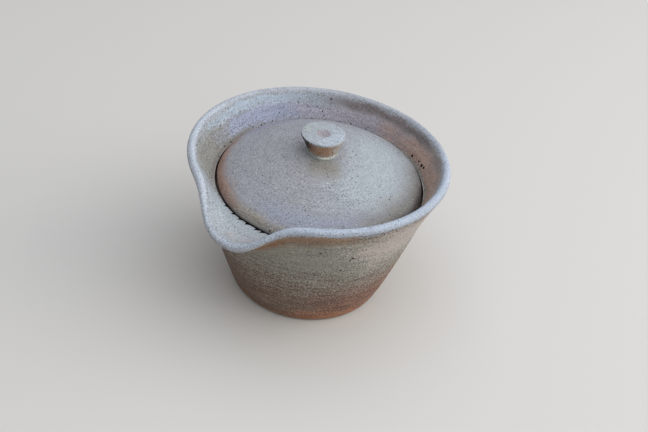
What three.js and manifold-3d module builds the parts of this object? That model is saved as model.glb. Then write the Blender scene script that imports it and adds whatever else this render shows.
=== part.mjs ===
// A shiboridashi: a small handleless Japanese teapot of unglazed wood-fired stoneware.
// A thrown bowl flares into a collar whose rim is pulled out and down into a pouring lip. Inside the
// collar a ledge carries a loose domed lid with a flared knob, and a short upright wall stands round the
// lid's edge. Notches cut across the ledge and through that wall at the lip strain the leaves.
// Millimetres, +Z up, origin at the middle of the foot, lip towards -Y. Angles run from the lip towards +X.
import * as THREE from "three";
import { ConvexGeometry } from "three/addons/geometries/ConvexGeometry.js";
import { mergeVertices } from "three/addons/utils/BufferGeometryUtils.js";
import Module from "manifold-3d";

const wasm = await Module();
wasm.setup();

// Bowl: the foot, the wall up to where the collar begins, and the floor.
const footRadius = 33.2;
const footChamfer = 1.2;
const wallHeight = 42;
const wallTopRadius = 46.6;
const wallFullness = 0.858;
const wallThickness = 4.2;
const floorThickness = 5;
const floorRound = 6;

// Collar: its rounded rim, and how far it leans out there in degrees.
const rimRadius = 54;
const rimHeight = 65.6;
const rimWidth = 3.6;
const collarLean = 24;

// What drying did to the rim: how far it is oval, where its long way lies in degrees, and how far it dips.
const rimOval = 0.85;
const rimOvalTurn = -61;
const rimDip = 0.5;

// Pouring lip: how far it reaches out and sinks, its lean in degrees, and the spread of each side of it.
const lipReach = 7.45;
const lipDrop = 11.2;
const lipLean = 65;
const lipLeft = { halfAngle: 19.3, squareness: 2.75 };
const lipRight = { halfAngle: 15.6, squareness: 2.4 };

// Seat inside the collar, a little off the middle: the ledge, and the short wall round the lid's edge.
const seatShift = { x: 1.12, y: 0.6 };
const seatWallHeight = 2.1;
const ledgeHeight = 49.4;
const ledgeWidth = 5;
const ledgeDepth = 4;

// Strainer notches: where they lie round the seat in degrees, and how far their slanted tips reach out.
const notchAngles = [-21.5, -14.3, -9, -4, 2.5, 5.8, 11, 16.5, 21.5];
const notchWidth = 1.3;
const notchDepth = 1.6;
const notchOverrun = 1.6;
const notchReach = 1.4;
const notchSlant = 1.8;
const notchHeadroom = 3;

// Lid: a dome whose edge turns down, on a flat ring, and its clearance to the wall round its edge.
const lidRadius = 43.45;
const lidClearance = 0.8;
const lidEdgeHeight = 2.55;
const lidEdgeUndercut = 1.4;
const lidEdgeTurn = 4.15;
const lidShoulderHeight = 6.8;
const lidRise = 9.8;
const lidThickness = 4.2;
const lidSeatWidth = 2.6;
const lidHollowSlope = 1.8;

// Knob: it flares from a low foot to a flat top with a thin edge and a dimple left by a fingertip. Its foot
// stands a little off the lid's middle, and its top a little off its foot.
const knobShift = { x: 0, y: -0.43 };
const knobLean = { x: -0.75, y: -0.05 };
const knobRadius = 9.1;
const knobHeight = 8.9;
const knobFootRadius = 6.55;
const knobFootHeight = 1.3;
const knobNeckRadius = 6.3;
const knobFlareBend = { radius: 7.3, height: 4.4 };
const knobEdgeThickness = 0.85;
const knobEdgeRound = 0.45;
const knobDimpleRadius = 2.9;
const knobDimpleDepth = 0.6;

// Facets round each piece, how far the bowl's crowd towards the lip, and steps along the curves.
const bowlFacets = 96;
const facetCrowding = 0.45;
const lidFacets = 72;
const knobFacets = 40;
const wallSteps = 8;
const collarSteps = 8;
const roundSteps = 8;
const domeSteps = 10;
const dimpleSteps = 3;
const edgeSteps = 2;

// Points nearer to one another than this are one point.
const weldDistance = 1e-4;

const seatWallRadius = lidRadius + lidClearance;
const seatWallTop = ledgeHeight + seatWallHeight;
const ledgeInnerRadius = seatWallRadius - ledgeWidth;
const rimHalf = rimWidth / 2;
const lidShoulderRadius = lidRadius - lidEdgeTurn;
const knobPadRadius = knobFootRadius + Math.hypot(knobShift.x, knobShift.y);

/** A point of a section: a radius and a height. */
function at(radius, height) {
  return new THREE.Vector2(radius, height);
}

/** Points on a curve that leaves the first point towards the bend and arrives at the last one from it. */
function bent(first, bend, last, steps) {
  return new THREE.QuadraticBezierCurve(first, bend, last).getPoints(steps);
}

/** Radius of the outer wall at a height. */
function wallRadius(height) {
  return footRadius + (wallTopRadius - footRadius) * (height / wallHeight) ** wallFullness;
}

/** Radius, from the bowl's axis, of a circle round the middle of the seat. */
function seatCircle(radius, angle) {
  const along = seatShift.x * Math.sin(angle) - seatShift.y * Math.cos(angle);
  const across = seatShift.x * Math.cos(angle) + seatShift.y * Math.sin(angle);
  return along + Math.sqrt(radius ** 2 - across ** 2);
}

/** How much of the lip's pull reaches an angle: all of it at the lip's middle, none at the back. */
function lipShare(angle) {
  const side = angle < 0 ? lipLeft : lipRight;
  const spread = Math.abs(angle) / THREE.MathUtils.degToRad(side.halfAngle);
  return Math.exp(-(spread ** side.squareness));
}

/** The rim at an angle: the middle of its round, and the ways up along the collar and out across it. */
function rimAt(angle) {
  const share = lipShare(angle);
  const lean = THREE.MathUtils.degToRad(collarLean + (lipLean - collarLean) * share);
  const oval = rimOval * Math.cos(2 * (angle - THREE.MathUtils.degToRad(rimOvalTurn)));
  const dip = rimDip * Math.cos(2 * angle) + lipDrop * share;
  return {
    middle: at(rimRadius - rimHalf + oval + lipReach * share, rimHeight - rimHalf - dip),
    up: at(Math.sin(lean), Math.cos(lean)),
    out: at(Math.cos(lean), -Math.sin(lean)),
  };
}

/** The outside of the bowl, from the edge of the foot to where the collar begins. */
function outerWall() {
  const points = [at(wallRadius(footChamfer) - footChamfer, 0)];
  for (let i = 0; i <= wallSteps; i++) {
    const height = footChamfer + ((wallHeight - footChamfer) * i) / wallSteps;
    points.push(at(wallRadius(height), height));
  }
  return points;
}

/** The outside of the collar and the round of its rim. */
function collarOutside(rim) {
  const root = at(wallTopRadius, wallHeight);
  const rootWay = at(((wallTopRadius - footRadius) * wallFullness) / wallHeight, 1).normalize();
  const edge = rim.middle.clone().addScaledVector(rim.out, rimHalf);
  const pull = root.distanceTo(edge) / 3;
  const leaving = root.clone().addScaledVector(rootWay, pull);
  const arriving = edge.clone().addScaledVector(rim.up, -pull);
  const points = new THREE.CubicBezierCurve(root, leaving, arriving, edge).getPoints(collarSteps).slice(1);
  for (let i = 1; i < roundSteps; i++) {
    const turn = (Math.PI * i) / roundSteps;
    const point = rim.middle.clone().addScaledVector(rim.out, rimHalf * Math.cos(turn));
    points.push(point.addScaledVector(rim.up, rimHalf * Math.sin(turn)));
  }
  return points;
}

/** The inside of the collar, from the rim to the seat, and the ledge. At the lip it is the lip's floor. */
function collarInside(rim, angle) {
  const edge = rim.middle.clone().addScaledVector(rim.out, -rimHalf);
  const seat = at(seatCircle(seatWallRadius, angle), seatWallTop);
  const run = ((edge.y - seat.y) * rim.up.x) / rim.up.y;
  const bend = at(Math.max(edge.x - run, seat.x), seat.y);
  const ledge = [at(seat.x, ledgeHeight), at(seatCircle(ledgeInnerRadius, angle), ledgeHeight)];
  return [...bent(edge, bend, seat, collarSteps), ...ledge];
}

/** The inside of the bowl, from below the ledge down to the edge of the floor. */
function innerWall() {
  const points = [];
  const top = ledgeHeight - ledgeDepth;
  const bottom = floorThickness + floorRound;
  for (let i = 0; i < wallSteps; i++) {
    const height = top - ((top - bottom) * i) / wallSteps;
    points.push(at(wallRadius(height) - wallThickness, height));
  }
  const corner = at(wallRadius(bottom) - wallThickness, bottom);
  const bend = at(wallRadius(floorThickness) - wallThickness, floorThickness);
  points.push(...bent(corner, bend, at(corner.x - floorRound, floorThickness), roundSteps));
  return points;
}

/** A closed solid through the sections that a function gives round the Z axis, flat at both ends. */
function lofted(sectionAt, facets) {
  const poles = [0, 0, 0, 0, 0, floorThickness];
  const position = [...poles];
  const index = [];
  let rows = 0;
  for (let i = 0; i < facets; i++) {
    const turn = ((2 * i) / facets - 1) * Math.PI;
    const angle = turn - facetCrowding * Math.sin(turn);
    const section = sectionAt(angle);
    rows = section.length;
    for (const point of section) {
      position.push(point.x * Math.sin(angle), -point.x * Math.cos(angle), point.y);
    }
  }
  const vertex = (facet, row) => poles.length / 3 + (facet % facets) * rows + row;
  for (let i = 0; i < facets; i++) {
    index.push(0, vertex(i + 1, 0), vertex(i, 0));
    for (let row = 0; row < rows - 1; row++) {
      index.push(vertex(i, row), vertex(i + 1, row), vertex(i + 1, row + 1));
      index.push(vertex(i, row), vertex(i + 1, row + 1), vertex(i, row + 1));
    }
    index.push(1, vertex(i, rows - 1), vertex(i + 1, rows - 1));
  }
  const geometry = new THREE.BufferGeometry();
  geometry.setAttribute("position", new THREE.Float32BufferAttribute(position, 3));
  geometry.setIndex(index);
  return geometry;
}

/** A closed solid, turned from a profile round the Z axis. */
function turned(profile, facets) {
  const geometry = new THREE.LatheGeometry(profile, facets);
  geometry.rotateX(Math.PI / 2);
  return geometry;
}

/** A closed mesh as a solid that can be cut. */
function solidFrom(geometry) {
  const bare = geometry.clone();
  bare.deleteAttribute("normal");
  bare.deleteAttribute("uv");
  const merged = mergeVertices(bare, weldDistance);
  return new wasm.Manifold(
    new wasm.Mesh({
      numProp: 3,
      vertProperties: new Float32Array(merged.attributes.position.array),
      triVerts: new Uint32Array(merged.index.array),
    }),
  );
}

/** A cut solid as a mesh again. */
function geometryFrom(solid) {
  const mesh = solid.getMesh();
  const geometry = new THREE.BufferGeometry();
  geometry.setAttribute("position", new THREE.BufferAttribute(mesh.vertProperties, 3));
  geometry.setIndex(new THREE.BufferAttribute(mesh.triVerts, 1));
  geometry.computeVertexNormals();
  return geometry;
}

/** The cutter of one strainer notch: a bar across the ledge, with a slanted point on the lip's floor. */
function notchCutter(angle) {
  const bottom = ledgeHeight - notchDepth;
  const top = seatWallTop + notchHeadroom;
  const tip = [-notchSlant, -(seatWallRadius + notchReach)];
  const corners = [new THREE.Vector3(...tip, seatWallTop), new THREE.Vector3(...tip, top)];
  for (const radius of [ledgeInnerRadius - notchOverrun, seatWallRadius]) {
    for (const side of [-notchWidth / 2, notchWidth / 2]) {
      corners.push(new THREE.Vector3(side, -radius, bottom), new THREE.Vector3(side, -radius, top));
    }
  }
  const cutter = new ConvexGeometry(corners);
  cutter.rotateZ(THREE.MathUtils.degToRad(angle));
  cutter.translate(seatShift.x, seatShift.y, 0);
  return cutter;
}

/** The bowl, with the strainer notches cut into its seat at the lip. */
function bowlGeometry() {
  const section = (angle) => {
    const rim = rimAt(angle);
    return [...outerWall(), ...collarOutside(rim), ...collarInside(rim, angle), ...innerWall()];
  };
  let solid = solidFrom(lofted(section, bowlFacets));
  for (const angle of notchAngles) {
    solid = solid.subtract(solidFrom(notchCutter(angle)));
  }
  return geometryFrom(solid);
}

/** Height of the lid's domed top over its seat, at a radius inside the shoulder. */
function domeHeight(radius) {
  return lidShoulderHeight + lidRise * (1 - (radius / lidShoulderRadius) ** 2);
}

/** The lid, standing on its seat, with a flat pad for the knob. */
function lidGeometry() {
  const seatOuter = lidRadius - lidEdgeUndercut;
  const seatInner = seatOuter - lidSeatWidth;
  const hollowRadius = seatInner - lidHollowSlope;
  const profile = [];
  for (let i = 0; i <= domeSteps; i++) {
    const radius = (hollowRadius * i) / domeSteps;
    profile.push(at(radius, domeHeight(radius) - lidThickness));
  }
  const foot = at(seatOuter, 0);
  const edge = at(lidRadius, lidEdgeHeight);
  const shoulder = at(lidShoulderRadius, lidShoulderHeight);
  const shoulderFall = (2 * lidRise * lidEdgeTurn) / lidShoulderRadius;
  const edgeBend = at(lidRadius, lidShoulderHeight - shoulderFall);
  profile.push(at(seatInner, 0));
  profile.push(...bent(foot, at(lidRadius, 0), edge, roundSteps));
  profile.push(...bent(edge, edgeBend, shoulder, roundSteps).slice(1));
  for (let i = domeSteps - 1; i >= 0; i--) {
    const radius = knobPadRadius + ((lidShoulderRadius - knobPadRadius) * i) / domeSteps;
    profile.push(at(radius, domeHeight(radius)));
  }
  profile.push(at(0, domeHeight(knobPadRadius)));
  return turned(profile, lidFacets);
}

/** The knob, standing on its foot. */
function knobGeometry() {
  const dimpleFloor = knobHeight - knobDimpleDepth;
  const footSide = at(knobFootRadius, knobFootHeight / 3);
  const neck = at(knobNeckRadius, knobFootHeight);
  const flareBend = at(knobFlareBend.radius, knobFlareBend.height);
  const lowerEdge = at(knobRadius, knobHeight - knobEdgeThickness);
  const upperEdge = at(knobRadius, knobHeight - knobEdgeRound);
  const top = at(knobRadius - knobEdgeRound, knobHeight);
  const dimple = at(knobDimpleRadius, knobHeight);
  const profile = [
    at(0, 0),
    at(knobFootRadius, 0),
    ...bent(footSide, at(knobFootRadius, knobFootHeight), neck, edgeSteps),
    ...bent(neck, flareBend, lowerEdge, roundSteps).slice(1),
    ...bent(upperEdge, at(knobRadius, knobHeight), top, edgeSteps),
    ...bent(dimple, at(knobDimpleRadius, dimpleFloor), at(0, dimpleFloor), dimpleSteps),
  ];
  const knob = turned(profile, knobFacets);
  const leaning = new THREE.Matrix4().makeShear(0, 0, 0, 0, knobLean.x / knobHeight, knobLean.y / knobHeight);
  return knob.applyMatrix4(leaning);
}

/** A named piece of unglazed stoneware, which is dry to the touch. */
function piece(name, geometry, colour) {
  const stoneware = new THREE.MeshStandardMaterial({ color: colour, roughness: 0.85, metalness: 0 });
  const mesh = new THREE.Mesh(geometry, stoneware);
  mesh.name = name;
  return mesh;
}

const bowl = piece("bowl", bowlGeometry(), 0x9a8f84);
const lid = piece("lid", lidGeometry(), 0xa7a5a3);
const knob = piece("knob", knobGeometry(), 0xaeb4b8);
knob.position.set(knobShift.x, knobShift.y, domeHeight(knobPadRadius));

const cover = new THREE.Group();
cover.position.set(seatShift.x, seatShift.y, ledgeHeight);
cover.add(lid, knob);

const shiboridashi = new THREE.Group();
shiboridashi.add(bowl, cover);

export default shiboridashi;
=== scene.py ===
"""A shiboridashi, a small handleless teapot of unglazed wood-fired stoneware, on a pale studio floor.

The bowl is lofted through sections round its axis, and its strainer notches are cut out of it. The lid
and the knob are turned. Geometry nodes then give all three the skin of thrown clay: throwing rings,
grit, mineral grains and pits. Sizes are in millimetres, and angles in degrees from the middle of the
pouring lip towards +X. A place on the skin is an angle and a zone: the whole number is a stretch of the
section, counted from the middle of the underside, and the rest is how far along that stretch it lies.
"""

import logging
import math
from collections.abc import Callable
from dataclasses import dataclass, field
from enum import Enum
from functools import partial

import bpy
import numpy as np
from mathutils import Matrix, Vector

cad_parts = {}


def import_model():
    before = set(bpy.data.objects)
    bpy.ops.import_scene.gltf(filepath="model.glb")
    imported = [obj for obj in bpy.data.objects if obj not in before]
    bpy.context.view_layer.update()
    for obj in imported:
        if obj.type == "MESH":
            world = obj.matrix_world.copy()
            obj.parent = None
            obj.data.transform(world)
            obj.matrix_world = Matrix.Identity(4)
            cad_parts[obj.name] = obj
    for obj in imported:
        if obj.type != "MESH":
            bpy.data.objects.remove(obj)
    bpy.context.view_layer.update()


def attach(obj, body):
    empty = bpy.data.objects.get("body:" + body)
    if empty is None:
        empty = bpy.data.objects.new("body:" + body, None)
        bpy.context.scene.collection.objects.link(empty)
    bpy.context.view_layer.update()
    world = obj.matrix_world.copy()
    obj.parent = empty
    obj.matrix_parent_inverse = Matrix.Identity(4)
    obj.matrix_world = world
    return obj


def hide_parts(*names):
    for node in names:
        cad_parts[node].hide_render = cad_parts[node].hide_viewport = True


LOG = logging.getLogger("shiboridashi")
MM = 0.001
SQUARE_CM_IN_SQUARE_M = 1e4
TINY = 1e-6
HALF_TURN = 180
MATHS = "ShaderNodeMath"
VECTORS = "ShaderNodeVectorMath"
MIX = "ShaderNodeMix"
MAP = "ShaderNodeMapRange"
NOISE = "ShaderNodeTexNoise"
NAMED = "GeometryNodeInputNamedAttribute"
STORE = "GeometryNodeStoreNamedAttribute"
Tree = bpy.types.NodeTree
Socket = bpy.types.NodeSocket
Outputs = bpy.types.NodeOutputs
Pairs = tuple[tuple[float, float], ...]
Adder = Callable[..., Outputs]

# A noise mostly stays within a quarter of its middle, 0.5. This takes it to about -1 to 1.
NOISE_GAIN = 4.0
# Grains lie only where the skin moves at least this freely.
OPEN_SKIN = 0.9
# How far from a grain's number a place may be and still belong to it.
GRAIN_ROOM = 0.25
SKIN_LENGTHS = (
    "Ring Pitch",
    "Ring Depth",
    "Waver Size",
    "Waver Depth",
    "Grit Size",
    "Grit Depth",
    "Grain Least",
    "Grain Most",
)


class Grain(Enum):
    """What stands in the skin, by the number that the skin carries for it. Plain clay carries 0."""

    FELDSPAR = 1.0
    IRON = -1.0
    PIT = -2.0


# A pit is a hole, so its near-black here is painted shade, laid on a bead that stands in the skin.
GRAIN_COLOURS = {Grain.FELDSPAR: "dad7cf", Grain.IRON: "5b4540", Grain.PIT: "241d1a"}


def linear(hex_colour: str) -> tuple[float, float, float, float]:
    """Turns an sRGB hex colour, such as "8a7f74", to red, green, blue and alpha in linear light."""
    parts = [int(hex_colour[i : i + 2], 16) / 255 for i in (0, 2, 4)]
    return (*(c / 12.92 if c <= 0.04045 else ((c + 0.055) / 1.055) ** 2.4 for c in parts), 1.0)


def add_node(tree: Tree, kind: str, inputs: dict | None = None, **settings: object) -> Outputs:
    """Adds a node with its settings and links.

    Args:
        tree: The node tree.
        kind: The node's type name.
        inputs: Input name or index to a value, to the socket that feeds it or to a list of such sockets.
        settings: The node's own settings.

    Returns:
        The new node's outputs.
    """
    node = tree.nodes.new(kind)
    for name, value in settings.items():
        setattr(node, name, value)
    for name, value in (inputs or {}).items():
        sources = value if isinstance(value, list) else [value]
        for source in sources:
            if isinstance(source, Socket):
                tree.links.new(source, node.inputs[name])
            else:
                node.inputs[name].default_value = source
    return node.outputs


def bezier(handles: list[np.ndarray], steps: int) -> np.ndarray:
    """Points along a Bézier curve.

    Args:
        handles: Its handles, each a radius and a height, or an array of such pairs.
        steps: How many equal steps it takes.

    Returns:
        The points, along the last axis but one.
    """
    share = np.linspace(0.0, 1.0, steps + 1)[:, None]
    degree = len(handles) - 1
    weights = [math.comb(degree, i) * share**i * (1 - share) ** (degree - i) for i in range(degree + 1)]
    return sum(weight * np.asarray(handle, float)[..., None, :] for weight, handle in zip(weights, handles))


def rounded(corners: list[np.ndarray], radius: float, steps: int = 4) -> np.ndarray:
    """A path through corners, with the ones between its ends rounded.

    Args:
        corners: The corners, each a radius and a height, or an array of such pairs.
        radius: How far from a corner its round begins.
        steps: How many steps a round takes.

    Returns:
        The points, along the last axis but one.
    """
    corners = [np.asarray(corner, float) for corner in corners]
    spans = [corners[0][..., None, :]]
    for before, corner, after in zip(corners, corners[1:], corners[2:]):
        ends = []
        for goal in (before, after):
            length = np.linalg.norm(goal - corner, axis=-1, keepdims=True)
            ends.append(corner + (goal - corner) * np.minimum(radius / length, 0.5))
        spans.append(bezier([ends[0], corner, ends[1]], steps))
    spans.append(corners[-1][..., None, :])
    return np.concatenate(spans, axis=-2)


@dataclass
class Section:
    """A section from axis to axis, or many of them.

    Attributes:
        stretches: The points of each stretch. A stretch starts where the last one ends.
    """

    stretches: list[np.ndarray]

    def points(self) -> np.ndarray:
        """All the points, each only once, along the last axis but one."""
        kept = [stretch[..., 1:, :] for stretch in self.stretches[1:]]
        return np.concatenate([self.stretches[0], *kept], axis=-2)

    def zones(self) -> np.ndarray:
        """Each point's zone."""
        counted = [i + np.linspace(0, 1, part.shape[-2])[1:] for i, part in enumerate(self.stretches)]
        return np.concatenate([[0.0], *counted])

    def first_line(self) -> np.ndarray:
        """The points of the section, or of the first of many."""
        points = self.points()
        return points.reshape(-1, *points.shape[-2:])[0]

    def run(self) -> np.ndarray:
        """Each point's distance from the start along the first line."""
        steps = np.linalg.norm(np.diff(self.first_line(), axis=0), axis=1)
        return np.concatenate([[0.0], np.cumsum(steps)])

    def spot(self, angle: float, zone: float) -> Vector:
        """A place on the first line, turned round the axis.

        Args:
            angle: The angle it is turned to.
            zone: Its zone.

        Returns:
            The place.
        """
        line = self.first_line()
        radius, height = (np.interp(zone, self.zones(), line[:, i]) for i in (0, 1))
        turn = math.radians(angle)
        return Vector((radius * math.sin(turn), -radius * math.cos(turn), height))


@dataclass(frozen=True)
class Mark:
    """A pit, an iron spot or a grain that is large enough to be seen by itself. A pit is a bead in painted
    shade.

    Attributes:
        angle: Its angle.
        zone: Its zone.
        radius: Its radius.
        grain: What it is.
    """

    angle: float
    zone: float
    radius: float
    grain: Grain = Grain.PIT


@dataclass(frozen=True)
class Patch:
    """A stretch of skin that the fire and the ash coloured in their own way, or painted shade or highlight.

    Attributes:
        colour: Its colour.
        angle: The angle of its middle.
        spread: Half its width, as an angle. A full 180 goes all round.
        zone: The zone of its middle.
        reach: Half its height, in zones.
        cover: The share of the specks in its middle that have its colour, 1 for all of them.
        fade: The share of its reach over which it fades, inwards and outwards.
    """

    colour: str
    angle: float
    spread: float
    zone: float
    reach: float
    cover: float = 1.0
    fade: float = 0.7


@dataclass(frozen=True)
class Fleck:
    """Mineral flecks that lie level with the skin.

    Attributes:
        colour: Their colour.
        spacing: From one to the next. The real ones are partly finer, but would not show.
        largest: The radius of the largest, as a share of the spacing.
        strength: How much of their colour shows.
    """

    colour: str
    spacing: float
    largest: float
    strength: float


def new_piece(name: str, data: bpy.types.ID) -> bpy.types.Object:
    """Puts a mesh, a lamp or a camera into the scene, at the origin.

    Args:
        name: The object's name.
        data: What it shows.

    Returns:
        The object.
    """
    piece = bpy.data.objects.new(name, data)
    bpy.context.scene.collection.objects.link(piece)
    return piece


def store(mesh: bpy.types.Mesh, values: dict[str, np.ndarray]) -> None:
    """Stores one number for each point of a mesh under each name."""
    for name, numbers in values.items():
        layer = mesh.attributes.new(name, "FLOAT", "POINT")
        layer.data.foreach_set("value", np.asarray(numbers, np.float32))


@dataclass
class Recipe:
    """A tree of geometry nodes, with named inputs for its sizes and its material.

    Attributes:
        name: The tree's name.
        takes: The names of its inputs by their kind, such as Float, Int, Vector or Object.
        tree: The tree.
        inputs: Each named input's identifier.
        add: Adds a node to the tree.
        given: The sockets inside the tree that carry what comes in.
    """

    name: str
    takes: dict[str, tuple[str, ...]]
    tree: Tree = field(init=False)
    inputs: dict[str, str] = field(init=False, default_factory=dict)
    add: Adder = field(init=False)
    given: Outputs = field(init=False)

    def __post_init__(self) -> None:
        """Starts the tree with its inputs and a geometry that goes out."""
        self.tree = bpy.data.node_groups.new(self.name, "GeometryNodeTree")
        self.tree.is_modifier = True
        sockets = self.tree.interface
        for way in ("INPUT", "OUTPUT"):
            sockets.new_socket("Geometry", in_out=way, socket_type="NodeSocketGeometry")
        for kind, names in (self.takes | {"Material": ("Material",)}).items():
            for name in names:
                socket = sockets.new_socket(name, in_out="INPUT", socket_type="NodeSocket" + kind)
                self.inputs[name] = socket.identifier
        self.add = partial(add_node, self.tree)
        self.given = self.add("NodeGroupInput")

    def ends(self, *parts: Socket) -> None:
        """Joins the parts, makes them real, gives them the material and sends them out."""
        whole = self.add("GeometryNodeJoinGeometry", {0: list(reversed(parts))})[0]
        real = self.add("GeometryNodeRealizeInstances", {0: whole})[0]
        inputs = {"Geometry": real, "Material": self.given["Material"]}
        dressed = self.add("GeometryNodeSetMaterial", inputs)[0]
        self.add("NodeGroupOutput", {"Geometry": dressed})

    def apply(self, piece: bpy.types.Object, values: dict) -> None:
        """Runs the tree on a piece and keeps the result as its plain mesh.

        Args:
            piece: The piece.
            values: A value for each named input.
        """
        modifier = piece.modifiers.new(self.name, "NODES")
        modifier.node_group = self.tree
        for name, value in values.items():
            modifier[self.inputs[name]] = value
        graph = bpy.context.evaluated_depsgraph_get()
        evaluated = piece.evaluated_get(graph)
        made = bpy.data.meshes.new_from_object(evaluated, preserve_all_data_layers=True, depsgraph=graph)
        piece.modifiers.remove(modifier)
        spent = piece.data
        piece.data = made
        bpy.data.meshes.remove(spent)
        made.name = piece.name


def turning_recipe() -> Recipe:
    """A profile turned round the Z axis.

    The profile is a line of edges whose X is a radius and whose Y is a depth. It is swept round a circle
    that is too small to see, its poles are closed, and the result leans and is moved to its place.

    Returns:
        The recipe, which takes Facets, Pole Radius, Lean, Place and Material.
    """
    takes = {"Int": ("Facets",), "Float": ("Pole Radius",), "Vector": ("Lean", "Place")}
    recipe = Recipe("turned_profile", takes)
    add, given = recipe.add, recipe.given
    profile = add("GeometryNodeMeshToCurve", {"Mesh": given["Geometry"]})[0]
    inputs = {"Resolution": given["Facets"], "Radius": given["Pole Radius"]}
    way = add("GeometryNodeCurvePrimitiveCircle", inputs)[0]
    swept = add("GeometryNodeCurveToMesh", {"Curve": way, "Profile Curve": profile})[0]
    pole_widths = 2.0
    near = add(MATHS, {0: given["Pole Radius"], 1: 2 * pole_widths}, operation="MULTIPLY")[0]
    closed = add("GeometryNodeMergeByDistance", {"Geometry": swept, "Distance": near})[0]
    outwards = add("GeometryNodeFlipFaces", {0: closed})[0]
    place = add("GeometryNodeInputPosition")[0]
    height = add("ShaderNodeSeparateXYZ", {0: place})["Z"]
    aside = add(VECTORS, {0: given["Lean"], "Scale": height}, operation="SCALE")[0]
    shift = add(VECTORS, {0: aside, 1: given["Place"]}, operation="ADD")[0]
    recipe.ends(add("GeometryNodeSetPosition", {"Geometry": outwards, "Offset": shift})[0])
    return recipe


def notching_recipe() -> Recipe:
    """Notches cut out of a form by a blade that stands at marked points.

    The blade is the hull of a bar and an upright edge beyond the bar's end. It stands once at each point
    of the object Places, turned by the point's own "turn". The cut faces get the zone Cut Zone. New
    points round the cuts have neither a zone nor a run, and take theirs from the uncut form.

    Returns:
        The recipe, which takes Places, Bar Size, Bar Middle, Edge Foot, Edge Rise, Cut Zone and Material.
    """
    vectors = ("Bar Size", "Bar Middle", "Edge Foot", "Edge Rise")
    recipe = Recipe("strainer_notches", {"Object": ("Places",), "Vector": vectors, "Float": ("Cut Zone",)})
    add, given = recipe.add, recipe.given
    form = given["Geometry"]
    cube = add("GeometryNodeMeshCube", {"Size": given["Bar Size"]})["Mesh"]
    bar = add("GeometryNodeTransform", {"Geometry": cube, "Translation": given["Bar Middle"]})[0]
    inputs = {"Count": 2, "Start Location": given["Edge Foot"], "Offset": given["Edge Rise"]}
    edge = add("GeometryNodeMeshLine", inputs)[0]
    both = add("GeometryNodeJoinGeometry", {"Geometry": [bar, edge]})[0]
    blade = add("GeometryNodeConvexHull", {"Geometry": both})[0]
    places = add("GeometryNodeObjectInfo", {"Object": given["Places"]})["Geometry"]
    turn = add(NAMED, {"Name": "turn"}, data_type="FLOAT")[0]
    upright = add("ShaderNodeCombineXYZ", {"Z": turn})[0]
    inputs = {"Points": places, "Instance": blade, "Rotation": upright}
    blades = add("GeometryNodeInstanceOnPoints", inputs)[0]
    solid = add("GeometryNodeRealizeInstances", {"Geometry": blades})[0]
    inputs = {"Name": "zone", "Geometry": solid, "Value": given["Cut Zone"]}
    zoned = add(STORE, inputs, data_type="FLOAT", domain="POINT")[0]
    settings = {"operation": "DIFFERENCE", "solver": "MANIFOLD"}
    cut = add("GeometryNodeMeshBoolean", {"Mesh 1": form, "Mesh 2": zoned}, **settings)["Mesh"]
    place = add("GeometryNodeInputPosition")[0]
    for name in ("zone", "run"):
        value = add(NAMED, {"Name": name}, data_type="FLOAT")[0]
        settings = {"data_type": "FLOAT", "operation": "LESS_THAN"}
        fresh = add("FunctionNodeCompare", {0: value, 1: TINY}, **settings)[0]
        inputs = {"Mesh": form, 1: value, "Sample Position": place}
        near = add("GeometryNodeSampleNearestSurface", inputs, data_type="FLOAT")[0]
        inputs = {"Name": name, "Geometry": cut, "Selection": fresh, "Value": near}
        cut = add(STORE, inputs, data_type="FLOAT", domain="POINT")[0]
    recipe.ends(cut)
    return recipe


def skin_recipe() -> Recipe:
    """The skin of thrown clay, laid on a finished form.

    Throwing rings climb along the section, a slow waver is left by the hands, and grit roughens the rest.
    Flat grains of feldspar and iron stand in the surface at random, and larger ones and pits at the
    points of the object Marks. The form's own "free" says where the skin may move, and "run" how far
    along the section a point lies.

    Returns:
        The recipe, which takes the sizes of all these, Marks, Seed and Material.
    """
    numbers = (*SKIN_LENGTHS, "Grain Density", "Grain Flatness", "Iron Share", "Sharpest Round")
    recipe = Recipe("thrown_skin", {"Float": numbers, "Object": ("Marks",), "Int": ("Seed",)})
    clay = skin_relief(recipe.add, recipe.given)
    recipe.ends(clay, *skin_grains(recipe.add, recipe.given, clay))
    return recipe


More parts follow.
